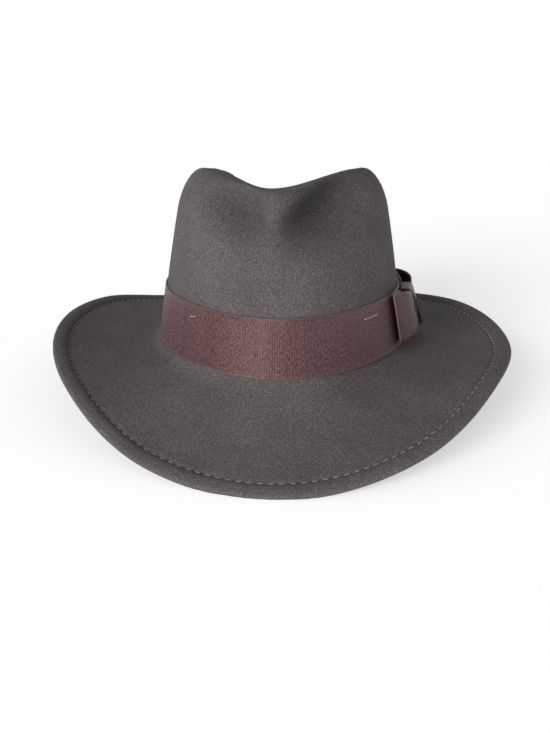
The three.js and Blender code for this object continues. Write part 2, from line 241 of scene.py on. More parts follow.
class StageSettings(bpy.types.PropertyGroup):
    """Camera, floor and lights"""
    camera_place: FloatVectorProperty(
        name="Camera place", description="Place of the camera", size=3,
        default=(-0.000178, -0.724508, 0.325417), subtype="TRANSLATION", precision=6)
    camera_turn: FloatVectorProperty(
        name="Camera turn", description="Direction of the camera", size=3,
        default=(radians(66.1918), radians(0.1302), radians(0.3238)), subtype="EULER", precision=6)
    lens: FloatProperty(name="Lens", description="Focal length in millimetres", default=54.02, unit="CAMERA")
    floor_radius: length("Floor radius", "Radius of the floor", 14.0)
    floor: colour("Floor", "Colour of the floor", (0.86, 0.86, 0.86))
    glow: share("Floor glow", "Brightness that the lit floor has of its own", 0.47)
    horizon: share("Horizon", "Brightness of the surround at the horizon", 0.75)
    zenith: share("Zenith", "Brightness of the surround overhead", 0.28)
    key_power: share("Key power", "Power of the key light on each square metre", 2.2)
    key_size: angle("Key size", "How wide the key light looks from the hat", 36)
    key_place: FloatVectorProperty(
        name="Key place", description="Direction of the key light from the hat", size=3,
        default=(-0.54, -0.77, 0.342), subtype="DIRECTION")


def read_curve(keys, values, at, loops=False):
    """Smooth curve through values at keys; loops joins its two ends"""
    last = len(keys) - 1
    at = np.clip(at, keys[0], keys[-1])
    i = np.clip(np.searchsorted(keys, at) - 1, 0, last - 1)
    t = (at - keys[i]) / (keys[i + 1] - keys[i])

    def value(k):
        return values[(k + last) % last] if loops else values[np.clip(k, 0, last)]

    a, b, c, d = value(i - 1), value(i), value(i + 1), value(i + 2)
    return b + 0.5 * t * (c - a + t * (2 * a - 5 * b + 4 * c - d + t * (3 * (b - c) + d - a)))


def stack(x, y, z):
    """Points from their three coordinates"""
    return np.stack(np.broadcast_arrays(x, y, z), axis=-1)


def crown_ring(felt, turn, height, size=1.0):
    """Horizontal section of the crown wall at a height over the break"""
    pull = (1 - felt.oval_pull * (1 - np.cos(4 * turn))) * size
    bulge = felt.wall_bulge * np.sin(pi * height / felt.crown_height)
    half_width = (felt.crown_half_width + bulge - height * tan(felt.side_lean)) * pull
    half_length = (felt.crown_half_length + bulge - height * tan(felt.end_lean)) * pull
    aside = height * tan(felt.crown_skew)
    return stack(half_width * np.cos(turn) + aside, half_length * np.sin(turn), height)


def outward(felt, turn):
    """Level direction that points out of the oval"""
    across, along = np.cos(turn) / felt.crown_half_width, np.sin(turn) / felt.crown_half_length
    size = np.hypot(across, along)
    return stack(across / size, along / size, 0 * turn)


def top_height(felt, x, y):
    """Height of the crown's top before its shoulder falls away"""
    at = y / felt.crown_half_length
    ridge, dent, span = (read_curve(CROWN_TOP[:, 0], CROWN_TOP[:, k], at) for k in (1, 2, 3))
    aside = x / felt.crown_half_width - felt.dent_shift
    off_centre = np.minimum(np.abs(aside) / (span * np.where(aside > 0, felt.dent_skew, 1)), 1)
    return felt.crown_height * (ridge - dent * np.cos(off_centre * pi / 2) ** 2)


def press(felt, points, spot):
    """How strongly a finger presses on points of the crown, from 0 to 1, and the outward direction there"""
    degrees, height, lean, wide, tall = spot[:5]
    turn = np.array(radians(degrees))
    away = outward(felt, turn)
    offset = points - crown_ring(felt, turn, height * felt.crown_height)
    sideways, upward = offset[..., 1] * away[0] - offset[..., 0] * away[1], offset[..., 2]
    c, s = cos(radians(lean)), sin(radians(lean))
    over = (sideways * c - upward * s) / (wide * felt.crown_height)
    along = (sideways * s + upward * c) / (tall * felt.crown_height)
    inward = (offset @ away) / (tall * felt.crown_height)
    return np.exp(-over ** 2 - along ** 2 - inward ** 2), away


def pinch(felt, points):
    """Pushes points of the crown in where the front is pinched"""
    push = np.zeros_like(points)
    for spot in PINCHES:
        strength, away = press(felt, points, spot)
        push -= spot[5] * felt.crown_height * strength[..., None] * away
    return points + push


def dent_shade(felt, points):
    """Share of its brightness that the felt keeps at points of the crown"""
    kept = np.ones(len(points))
    for spot in DENT_SHADE:
        kept *= 1 - spot[5] * press(felt, points, spot)[0]
    return kept


def shoulder_point(felt, turn, size, drop):
    """Point of the crown's top or shoulder: size is its share of the wall's section, drop its fall"""
    guess = crown_ring(felt, turn, felt.crown_height, size)
    height = top_height(felt, guess[..., 0], guess[..., 1]) - drop
    return pinch(felt, crown_ring(felt, turn, height, size))


def wall_point(felt, turn, fall):
    """Point of the wall between the shoulder and the break"""
    guess = crown_ring(felt, turn, felt.crown_height)
    top = top_height(felt, guess[..., 0], guess[..., 1]) - felt.shoulder_drop
    return pinch(felt, crown_ring(felt, turn, top + (felt.break_radius - top) * fall))


def brim_at(felt, turn):
    """Width and mean fall of the brim"""
    degrees = np.degrees(turn) % 360
    width, dip = (read_curve(BRIM_SHAPE[:, 0], BRIM_SHAPE[:, k], degrees, True) for k in (1, 2))
    return width * felt.brim_width, np.radians(dip)


def brim_point(felt, turn, reach):
    """Point of the brim's upper face at a reach from the break"""
    width, dip = brim_at(felt, turn)
    curl = felt.brim_curl / width
    root = dip + felt.brim_curl / 2
    end = root - curl * reach
    out, down = (np.sin(root) - np.sin(end)) / curl, (np.cos(end) - np.cos(root)) / curl
    point = crown_ring(felt, turn, 0.0) + outward(felt, turn) * out[..., None]
    point[..., 2] = -down
    return point


def fillet_point(felt, turn, part):
    """Point of the curve between the wall and the brim; part runs from 0 at the wall to 1 at the brim"""
    part = np.asarray(part)[..., None]
    high, corner = crown_ring(felt, turn, felt.break_radius), crown_ring(felt, turn, 0.0)
    low = brim_point(felt, turn, felt.break_radius)
    return (1 - part) ** 2 * high + 2 * part * (1 - part) * corner + part ** 2 * low


def felt_at_height(felt, turn, height):
    """Outside of the felt at a height over the break"""
    turn, height = np.broadcast_arrays(np.asarray(turn, float), np.asarray(height, float))
    level = np.clip((felt.break_radius - height) / felt.break_radius, 0, 1)
    fall = -brim_point(felt, turn, felt.break_radius)[..., 2] / felt.break_radius
    part = (1 - np.sqrt(1 - (1 - fall) * level)) / (1 - fall)
    wall = pinch(felt, crown_ring(felt, turn, height))
    return np.where((height >= felt.break_radius)[..., None], wall, fillet_point(felt, turn, part))


def to_rest(felt, points):
    """Moves points from the hat's own frame to where it rests"""
    c, s = cos(felt.rest_tilt), sin(felt.rest_tilt)
    x, y, z = points[..., 0], points[..., 1], points[..., 2]
    return stack(x, y * c + z * s, z * c - y * s) + np.array(felt.rest_place)


def from_rest(felt, points):
    """Moves points from where the hat rests to the hat's own frame"""
    c, s = cos(felt.rest_tilt), sin(felt.rest_tilt)
    x, y, z = (points - np.array(felt.rest_place)).T
    return stack(x, y * c - z * s, z * c + y * s)


def even_places(curve, count):
    """Shares of the way around a closed curve at which equal lengths of it end"""
    samples = np.linspace(0, 1, 4001)
    steps = np.linalg.norm(np.diff(curve(samples), axis=0), axis=1)
    run = np.concatenate([[0], np.cumsum(steps)])
    return np.interp(np.arange(count) / count * run[-1], run, samples), run[-1]


def grid_normals(grid):
    """Outward directions of a grid of points: rows run out from a pole, columns run around"""
    along = np.roll(grid, -1, axis=1) - np.roll(grid, 1, axis=1)
    down = np.gradient(grid, axis=0)
    normal = np.cross(down, along)
    size = np.linalg.norm(normal, axis=2, keepdims=True)
    normal = normal / np.maximum(size, 1e-12)
    pole = normal[1].mean(axis=0)
    normal[0] = pole / np.linalg.norm(pole)
    return normal


def wrapped_grid(grid, rows_wrap):
    """Bmesh of a grid whose columns, and rows if rows_wrap, run once around, and the spot of each vertex"""
    rows, columns = grid.shape[0] - (not rows_wrap), grid.shape[1]
    bm = bmesh.new()
    bmesh.ops.create_grid(bm, x_segments=columns, y_segments=rows, size=0.5)
    spots = [(round((v.co.y + 0.5) * rows), round((v.co.x + 0.5) * columns)) for v in bm.verts]
    for vert, (row, column) in zip(bm.verts, spots):
        vert.co = grid[row % len(grid), column % columns]
    return bm, spots


def close_up(bm):
    """Joins a wrapped grid where it meets itself"""
    bmesh.ops.remove_doubles(bm, verts=bm.verts, dist=1e-6)
    bmesh.ops.recalc_face_normals(bm, faces=bm.faces)
    return bm


def shell(grid):
    """Closed form through a grid whose first and last rows are poles"""
    return close_up(wrapped_grid(grid, False)[0])


def hoop(grid, around, across):
    """Closed tube through a grid whose rows run around its section, with a UV map of its own lengths"""
    bm, spots = wrapped_grid(grid, True)
    weave = bm.loops.layers.uv.new("weave")
    bm.verts.index_update()
    across = [*across, across[0]]
    for face in bm.faces:
        for loop in face.loops:
            row, column = spots[loop.vert.index]
            loop[weave].uv = (column / grid.shape[1] * around, across[row])
    return close_up(bm)


def stitch_mesh():
    """A small ball that is copied and stretched for each stitch"""
    bm = bmesh.new()
    bmesh.ops.create_uvsphere(bm, u_segments=8, v_segments=6, radius=1)
    mesh = bpy.data.meshes.new("stitch")
    bm.to_mesh(mesh)
    bm.free()
    return mesh


def add_stitch(bm, stitch, middle, run, up, thread):
    """Adds a stitch as long as its run and as thick as the thread; up points away from the cloth"""
    side = run.cross(up).normalized()
    axes = zip(side * thread / 2, up * thread / 2, run / 2)
    placed = stitch.copy()
    placed.transform(Matrix.Translation(middle) @ Matrix([(*row, 0) for row in axes] + [(0, 0, 0, 1)]))
    bm.from_mesh(placed)
    bpy.data.meshes.remove(placed)


def strip_section(rows):
    """Closed section of a ribbon: shares across its width, and 1 on its outer face or 0 on its inner face"""
    across = [i / rows for i in range(rows + 1)]
    shares = across + [1.0] + across[::-1] + [0.0]
    faces = [1.0] * (rows + 1) + [0.5] + [0.0] * (rows + 1) + [0.5]
    return np.array(shares), np.array(faces)


def add_piece(name, bm, material, slot, *nodes):
    """Makes a finished piece from a bmesh; it rides on the hat and replaces the CAD nodes named"""
    mesh = bpy.data.meshes.new(name)
    bm.to_mesh(mesh)
    bm.free()
    mesh.shade_smooth()
    mesh.materials.append(material)
    piece = bpy.data.objects.new(name, mesh)
    bpy.context.scene.collection.objects.link(piece)
    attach(piece, "root")
    if nodes:
        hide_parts(*nodes)
    return piece


def add_node(tree, kind, inputs=None, **settings):
    """Adds a node; each input is a value or the output that feeds it"""
    node = tree.nodes.new(kind)
    for key, value in settings.items():
        setattr(node, key, value)
    for key, value in (inputs or {}).items():
        if isinstance(value, bpy.types.NodeSocket):
            tree.links.new(value, node.inputs[key])
        else:
            node.inputs[key].default_value = value
    return node


def noise(tree, place, scale, detail=2.0, roughness=0.5):
    """Value of a noise pattern"""
    inputs = {"Vector": place, "Scale": scale, "Detail": detail, "Roughness": roughness}
    return add_node(tree, "ShaderNodeTexNoise", inputs).outputs["Fac"]


def stretch(tree, weave, around, across):
    """Place on the ribbon, scaled around the hat and across the ribbon"""
    inputs = {"Vector": weave, "Scale": (around, across, 1.0)}
    return add_node(tree, "ShaderNodeMapping", inputs).outputs[0]


def remap(tree, value, low, high, to_low=0.0, to_high=1.0):
    """Maps a value from one range to another"""
    inputs = {"Value": value, "From Min": low, "From Max": high, "To Min": to_low, "To Max": to_high}
    return add_node(tree, "ShaderNodeMapRange", inputs, clamp=True).outputs["Result"]


def maths(tree, operation, *values):
    """Result of a sum on values"""
    return add_node(tree, "ShaderNodeMath", dict(enumerate(values)), operation=operation).outputs[0]


def blend(tree, amount, first, second, kind="MIX"):
    """Mix of two colours"""
    inputs = {0: amount, 6: first, 7: second}
    return add_node(tree, "ShaderNodeMix", inputs, data_type="RGBA", blend_type=kind).outputs[2]


def solid(rgb):
    """A colour as four numbers"""
    return (*rgb, 1.0)


def bump(tree, height, distance, strength=1.0, below=None):
    """Bump from a height, over another bump if one is given"""
    inputs = {"Height": height, "Distance": distance, "Strength": strength}
    if below:
        inputs["Normal"] = below
    return add_node(tree, "ShaderNodeBump", inputs).outputs["Normal"]


def start_material(name):
    """A new material and its empty node tree"""
    material = bpy.data.materials.new(name)
    material.use_nodes = True
    material.node_tree.nodes.clear()
    return material, material.node_tree


def finish_material(tree, inputs):
    """Adds the shader and the output"""
    shader = add_node(tree, "ShaderNodeBsdfPrincipled", inputs)
    add_node(tree, "ShaderNodeOutputMaterial", {"Surface": shader.outputs[0]})


def felt_material(colours):
    """Brushed wool felt: mottled fibres, a few lint specks and a soft nap"""
    material, tree = start_material("wool_felt")
    place = add_node(tree, "ShaderNodeTexCoord").outputs["Object"]
    fine = noise(tree, place, 1150, 2.0, 0.6)
    fibres = noise(tree, place, 480, 3.0, 0.65)
    patches = noise(tree, place, 32, 4.0, 0.6)
    dark = remap(tree, fine, 0.50, 0.28)
    light = remap(tree, fine, 0.52, 0.74)
    mixed = blend(tree, dark, solid(colours.felt), solid(colours.felt_dark))
    mixed = blend(tree, light, mixed, solid(colours.felt_light))
    shade = remap(tree, fibres, 0.3, 0.7, 0.9, 1.1)
    shade = maths(tree, "MULTIPLY", shade, remap(tree, patches, 0.3, 0.7, 0.89, 1.12))
    dents = add_node(tree, "ShaderNodeAttribute", attribute_name="dent_shade").outputs["Fac"]
    shade = maths(tree, "MULTIPLY", shade, dents)
    mixed = blend(tree, 1.0, mixed, shade, "MULTIPLY")
    cells = add_node(tree, "ShaderNodeTexVoronoi", {"Vector": place, "Scale": 85.0})
    near = maths(tree, "LESS_THAN", cells.outputs["Distance"], 0.026)
    chosen = add_node(tree, "ShaderNodeSeparateColor", {"Color": cells.outputs["Color"]}).outputs[0]
    speck = maths(tree, "MULTIPLY", near, maths(tree, "GREATER_THAN", chosen, 0.72))
    mixed = blend(tree, speck, mixed, solid(colours.lint))
    relief = bump(tree, fine, 0.00028, 0.9)
    relief = bump(tree, fibres, 0.00036, 0.6, relief)
    finish_material(tree, {
        "Base Color": mixed, "Roughness": 0.92, "Normal": relief, "Specular IOR Level": 0.18,
        "Sheen Weight": 0.03, "Sheen Roughness": 0.45, "Sheen Tint": (0.86, 0.82, 0.8, 1.0),
    })
    return material


def ribbon_material(colours, ribbon):
    """Ribbed ribbon: threads across the ribs, a paler selvedge, and painted highlight on folds where its UV
    map starts
    """
    material, tree = start_material("ribbed_ribbon")
    weave = add_node(tree, "ShaderNodeUVMap", uv_map="weave").outputs["UV"]
    place = add_node(tree, "ShaderNodeSeparateXYZ", {0: weave})
    around, across = place.outputs[0], place.outputs[1]
    phase = maths(tree, "MULTIPLY", around, 2 * pi / ribbon.rib_pitch)
    rib = remap(tree, maths(tree, "COSINE", phase), -1.0, 0.6)
    thread_phase = maths(tree, "MULTIPLY", across, 2 * pi / ribbon.thread_pitch)
    threads = maths(tree, "SINE", maths(tree, "ADD", thread_phase, maths(tree, "MULTIPLY", phase, 0.5)))
    flecks = noise(tree, stretch(tree, weave, 820, 520), 1.0, 1.0, 0.6)
    bands = noise(tree, stretch(tree, weave, 170, 6), 1.0, 2.0, 0.5)
    # Painted shade: darker colour in the grooves between the ribs
    mixed = blend(tree, rib, solid(colours.ribbon_groove_shade), solid(colours.ribbon))
    shade = remap(tree, flecks, 0.3, 0.7, 0.25, 1.8)
    shade = maths(tree, "MULTIPLY", shade, remap(tree, bands, 0.3, 0.7, 0.86, 1.14))
    mixed = blend(tree, 1.0, mixed, shade, "MULTIPLY")
    edge = maths(tree, "MINIMUM", across, maths(tree, "SUBTRACT", ribbon.width, across))
    selvedge = remap(tree, edge, 0.0011, 0.0005)
    # Painted highlight: a light line where the UV map starts, standing for light caught by the loops' folds
    fold_highlight = remap(tree, around, 0.0010, 0.0005)
    fold_highlight = maths(tree, "MULTIPLY", fold_highlight, maths(tree, "GREATER_THAN", around, 0.0))
    pale_selvedge_and_highlight = maths(tree, "MAXIMUM", maths(tree, "MULTIPLY", selvedge, 0.45), maths(tree, "MULTIPLY", fold_highlight, 0.8))
    mixed = blend(tree, pale_selvedge_and_highlight, mixed, solid(colours.selvedge))
    relief = bump(tree, rib, 0.00008, 0.5)
    relief = bump(tree, threads, 0.0001, 0.6, relief)
    relief = bump(tree, flecks, 0.0003, 0.8, relief)
    finish_material(tree, {
        "Base Color": mixed, "Roughness": 0.36, "Normal": relief, "Specular IOR Level": 1.0,
        "Specular Tint": (1.0, 0.7, 0.7, 1.0),
        "Sheen Weight": 0.03, "Sheen Roughness": 0.4, "Sheen Tint": (0.9, 0.75, 0.74, 1.0),
    })
    return material


def thread_material(colours):
    """Twisted sewing thread"""
    material, tree = start_material("sewing_thread")
    place = add_node(tree, "ShaderNodeTexCoord").outputs["Object"]
    fuzz = noise(tree, place, 2600, 2.0, 0.6)
    drift = noise(tree, place, 60, 1.0, 0.5)
    shade = remap(tree, fuzz, 0.3, 0.7, 0.75, 1.2)
    shade = maths(tree, "MULTIPLY", shade, remap(tree, drift, 0.3, 0.7, 0.8, 1.12))
    mixed = blend(tree, 1.0, solid(colours.thread), shade, "MULTIPLY")
    finish_material(tree, {
        "Base Color": mixed, "Roughness": 0.6, "Normal": bump(tree, fuzz, 0.0001, 0.6),
        "Sheen Weight": 0.2, "Sheen Roughness": 0.5,
    })
    return material


def floor_material(stage):
    """Plain pale floor"""
    material, tree = start_material("pale_floor")
    place = add_node(tree, "ShaderNodeTexCoord").outputs["Object"]
    shade = remap(tree, noise(tree, place, 3.0, 2.0, 0.5), 0.3, 0.7, 0.995, 1.005)
    mixed = blend(tree, 1.0, solid(stage.floor), shade, "MULTIPLY")
    finish_material(tree, {
        "Base Color": mixed, "Roughness": 0.9, "Specular IOR Level": 0.1,
        "Emission Color": (1.0, 1.0, 1.0, 1.0), "Emission Strength": stage.glow,
    })
    return material


def stitch_turns(felt, stitches):
    """Turn of each column of felt, with the same number of columns on each stitch, and the stitch count"""
    def line(place):
        turn = 2 * pi * place
        return brim_point(felt, turn, brim_at(felt, turn)[0] - stitches.edge_distance)

    count = round(even_places(line, 1)[1] / stitches.pitch)
    return 2 * pi * even_places(line, count * stitches.columns)[0], count


def felt_upper_rows(felt, turn):
    """Rows of the felt's upper face from the crown's middle out, and each row's distance to the edge"""
    rows = [shoulder_point(felt, turn, s, 0.0) for s in (0.0, *TOP_ROWS)]
    for i in range(SHOULDER_ROWS + 1):
        tip = i / SHOULDER_ROWS * pi / 2
        size = felt.shoulder_start + (1 - felt.shoulder_start) * sin(tip)
        rows.append(shoulder_point(felt, turn, size, felt.shoulder_drop * (1 - cos(tip))))
    rows += [wall_point(felt, turn, (i + 1) / WALL_ROWS) for i in range(WALL_ROWS)]
    rows += [fillet_point(felt, turn, (i + 1) / FILLET_ROWS) for i in range(FILLET_ROWS)]
    width = brim_at(felt, turn)[0]
    step = (width - EDGE_ROWS[0] - felt.break_radius) / (BRIM_ROWS + 1)
    rows += [brim_point(felt, turn, felt.break_radius + step * (i + 1)) for i in range(BRIM_ROWS)]
    to_edge = [FAR] * len(rows)
    for distance in (*EDGE_ROWS, felt.edge_thickness / 2):
        rows.append(brim_point(felt, turn, width - distance))
        to_edge.append(distance)
    return np.stack(rows), np.array(to_edge)


def bell(distance, width):
    """Smooth bump that is 1 in its middle"""
    return np.exp(-(distance / width) ** 2)


def eased(normal, to_edge, rounds=12):
    """Directions of the crown evened out with their neighbours', so that its inner face folds less"""
    crown = int(np.argmax(to_edge < FAR)) - BRIM_ROWS
    normal = normal.copy()
    for _ in range(rounds):
        beside = np.roll(normal, 1, axis=1) + np.roll(normal, -1, axis=1)
        middle = 2 * normal[1:-1] + beside[1:-1] + normal[:-2] + normal[2:]
        middle /= np.linalg.norm(middle, axis=2, keepdims=True)
        normal[1:crown] = middle[:crown - 1]
    return normal


def felt_grid(felt, stitches):
    """Grid of the closed felt, with the grid and directions of its upper face"""
    turn, count = stitch_turns(felt, stitches)
    upper, to_edge = felt_upper_rows(felt, turn)
    normal = grid_normals(upper)
    phase = np.arange(len(turn)) / stitches.columns % 1
    holes = bell(np.minimum(phase, 1 - phase), HOLE_WIDTH) + bell(phase - stitches.seen, HOLE_WIDTH)
    across = to_edge - stitches.edge_distance
    groove = bell(across, felt.groove_width)
    puff = np.where(across < 0, np.sin(np.clip(-across / stitches.edge_distance, 0, 1) * pi) ** 0.8, 0)
    relief = felt.edge_puff * puff - felt.groove_depth * groove
    relief = relief[:, None] - felt.pucker * bell(across, 1.6 * felt.groove_width)[:, None] * holes
    outer = upper + normal * relief[..., None]

    doubled = np.clip((felt.flap_width - to_edge) / FLAP_STEP, 0, 1)
    depth = felt.thickness + (felt.edge_thickness - felt.thickness) * doubled
    depth -= 0.9 * felt.groove_depth * groove
    depth = depth[:, None] - 0.8 * felt.pucker * bell(across, UNDER_HOLE_WIDTH)[:, None] * holes
    inner = upper - eased(normal, to_edge) * depth[..., None]

    last_upper, last_inner = outer[-1], inner[-1]
    middle, half = (last_upper + last_inner) / 2, (last_upper - last_inner) / 2
    along = stack(-outward(felt, turn)[:, 1], outward(felt, turn)[:, 0], 0.0)
    out = np.cross(along, half)
    out *= felt.edge_thickness / 2 / np.linalg.norm(out, axis=1, keepdims=True)
    rim = [middle + half * sin(a) + out * cos(a) for a in np.radians(RIM_ANGLES)]
    kept = [i for i in range(len(inner)) if i % 2 == 0 or to_edge[i] < FAR]
    return np.concatenate([outer, rim, inner[kept][::-1]]), outer, inner, normal, to_edge, count


def ribbon_point(felt, ribbon, turn, up, out):
    """Point of the ribbon: up is 0 at its lower edge and 1 at its upper, out is its distance from the felt"""
    rise = ribbon.width * cos((felt.side_lean + felt.end_lean) / 2)
    height = ribbon.rise + rise * up
    return felt_at_height(felt, turn, height) + outward(felt, turn) * np.asarray(out)[..., None]


def turn_along(felt, bow, distance):
    """Turn at a distance along the ribbon from the bow's middle; plus is towards the front"""
    steps = 12
    turn = np.full(np.shape(distance), bow.turn)
    for _ in range(steps):
        speed = np.hypot(felt.crown_half_width * np.sin(turn), felt.crown_half_length * np.cos(turn))
        turn = turn - distance / steps / speed
    return turn


def onto_ribbon(felt, ribbon, bow, x, y, z):
    """Places a point of the bow: x along the ribbon, y out from it, z up it"""
    x, y, z = np.broadcast_arrays(x, y, z)
    turn = turn_along(felt, bow, x)
    height = ribbon.rise + z * cos(felt.side_lean)
    return felt_at_height(felt, turn, height) + outward(felt, turn) * (bow.lift + y)[..., None]


def fuller(value, roundness):
    """Rounds a cosine or sine so that an oval made with it has fuller corners"""
    return np.sign(value) * np.abs(value) ** roundness


def loop_height(bow, stand, taper, run):
    """Height of a loop's outer face over its base, at a share of its length from the knot"""
    run = np.clip(run, 0, 1)
    swell = bow.neck + (1 - bow.neck) * fuller(np.sin(pi * run ** bow.swell), bow.roundness)
    return stand * (1 - taper * run) * swell


def stand_at(ribbon, bow, x, z):
    """Share of its height that the bow keeps where the knot's top is pressed in"""
    return 1 - bow.flare * z / ribbon.width * np.exp(-(x / bow.knot_width) ** 2)


def slant_bow(bow, x, z):
    """Moves the middle of the bow along the ribbon with height, so that the knot slants"""
    return x - bow.knot_slant * (bow.middle - z) * np.exp(-(x / bow.front_reach) ** 2)


def inset_curve(points, inset):
    """Closed flat curve moved to its left by inset"""
    tangent = np.roll(points, -1, axis=0) - np.roll(points, 1, axis=0)
    tangent = tangent / np.linalg.norm(tangent, axis=1, keepdims=True)
    return points + inset * np.stack([-tangent[:, 1], tangent[:, 0]], axis=1)


def ribbed(ribbon, curve):
    """Places of columns along a closed curve, their depths below the ribs' tops, and the ribbon's length"""
    ribs = round(even_places(curve, 1)[1] / ribbon.rib_pitch)
    places = even_places(curve, RIB_COLUMNS * ribs)[0]
    depths = ribbon.rib_depth * (0.5 - 0.5 * np.cos(2 * pi * np.arange(len(places)) / RIB_COLUMNS))
    return places, depths, ribs * ribbon.rib_pitch


class MakeFelt(bpy.types.Operator):
    """Make the felt crown and brim"""
    bl_idname = "fedora.make_felt"
    bl_label = "Felt"
    bl_options = {"REGISTER", "UNDO"}

    def execute(self, context):
        felt, stitches = context.scene.fedora_felt, context.scene.fedora_stitches
        grid = to_rest(felt, felt_grid(felt, stitches)[0])
        grid[..., 2] = np.maximum(grid[..., 2], 0)
        material = felt_material(context.scene.fedora_colours)
        piece = add_piece("felt_crown_and_brim", shell(grid), material, "felt", "crown_and_brim")
        points = from_rest(felt, np.array([v.co for v in piece.data.vertices]))
        attribute = piece.data.attributes.new("dent_shade", "FLOAT", "POINT")
        attribute.data.foreach_set("value", dent_shade(felt, points))
        return {"FINISHED"}


class MakeStitches(bpy.types.Operator):
    """Make the running stitch around the brim"""
    bl_idname = "fedora.make_stitches"
    bl_label = "Brim stitches"
    bl_options = {"REGISTER", "UNDO"}

    def execute(self, context):
        felt, stitches = context.scene.fedora_felt, context.scene.fedora_stitches
        _, outer, inner, normal, to_edge, count = felt_grid(felt, stitches)
        row = int(np.argmin(np.abs(to_edge - stitches.edge_distance)))
        chance = random.Random(stitches.seed)
        bm, stitch = bmesh.new(), stitch_mesh()
        for face, side, start, end in ((outer, 1, 0.0, stitches.seen), (inner, -1, stitches.seen, 1.0)):
            line = to_rest(felt, face[row])
            away = to_rest(felt, face[row] + normal[row] * side) - line
            line[:, 2] = np.maximum(line[:, 2], 2 * stitches.thread)
            for k in range(count):
                middle = (k + (start + end) / 2 + chance.uniform(-0.02, 0.02)) * stitches.columns
                reach = (end - start) / 2 * stitches.columns * chance.uniform(0.93, 1.0)
                a, b, c = (self.along(line, middle + step) for step in (-reach, 0, reach))
                up = Vector(self.along(away, middle)).normalized()
                place = Vector(b) + up * (0.45 * stitches.thread + felt.pucker * 0.4)
                add_stitch(bm, stitch, place, Vector(c - a), up, stitches.thread)
        bpy.data.meshes.remove(stitch)
        bmesh.ops.recalc_face_normals(bm, faces=bm.faces)
        add_piece("brim_stitches", bm, thread_material(context.scene.fedora_colours), "thread")
        return {"FINISHED"}

    def along(self, line, place):
        """Point of a closed line between its columns"""
        first = int(np.floor(place))
        part = place - first
        return line[first % len(line)] * (1 - part) + line[(first + 1) % len(line)] * part


class MakeRibbon(bpy.types.Operator):
    """Make the ribbed ribbon around the crown"""
    bl_idname = "fedora.make_ribbon"
    bl_label = "Ribbon"
    bl_options = {"REGISTER", "UNDO"}

    def execute(self, context):
        felt, ribbon = context.scene.fedora_felt, context.scene.fedora_ribbon
        ups, faces = strip_section(RIBBON_ROWS)
        ups = ups ** ROW_CROWDING

        def line(place):
            return ribbon_point(felt, ribbon, 2 * pi * place, 0.5, 0.0)

        places, wave, around = ribbed(ribbon, line)
        grid = np.stack([
            ribbon_point(felt, ribbon, 2 * pi * places, up, ribbon.seat + (ribbon.thickness - wave) * face)
            for up, face in zip(ups, faces)
        ])
        bm = hoop(to_rest(felt, grid), around, ups * ribbon.width)
        material = ribbon_material(context.scene.fedora_colours, ribbon)
        add_piece("ribbon_around_crown", bm, material, "ribbon", "ribbon_band")
        return {"FINISHED"}


class MakeTacks(bpy.types.Operator):
    """Make the two thread tacks that hold the ribbon to the crown"""
    bl_idname = "fedora.make_tacks"
    bl_label = "Ribbon tacks"
    bl_options = {"REGISTER", "UNDO"}

    def execute(self, context):
        scene = context.scene
        felt, ribbon, stitches = scene.fedora_felt, scene.fedora_ribbon, scene.fedora_stitches
        bm, stitch = bmesh.new(), stitch_mesh()
        surface = ribbon.seat + ribbon.thickness
        for turns, ups in TACKS:
            turn, up = np.radians(np.linspace(*turns, TACK_POINTS)), np.linspace(*ups, TACK_POINTS)
            line, above = (
                to_rest(felt, ribbon_point(felt, ribbon, turn, up, surface + rise * stitches.tack_thread))
                for rise in (0.3, 1.3)
            )
            for start, end, tip in zip(line, line[1:], above):
                middle, run = Vector((start + end) / 2), 1.5 * Vector(end - start)
                away = Vector(tip - start).normalized()
                add_stitch(bm, stitch, middle, run, away, stitches.tack_thread)
            away = Vector(above[0] - line[0]).normalized()
            for end, start in ((line[0], line[1]), (line[-1], line[-2])):
                run = Vector(end - start).normalized() * stitches.tack_knot
                add_stitch(bm, stitch, Vector(end), run, away, stitches.tack_knot)
        bpy.data.meshes.remove(stitch)
        bmesh.ops.recalc_face_normals(bm, faces=bm.faces)
        material = bpy.data.materials.get("sewing_thread") or thread_material(scene.fedora_colours)
        add_piece("ribbon_tacks", bm, material, "thread")
        return {"FINISHED"}


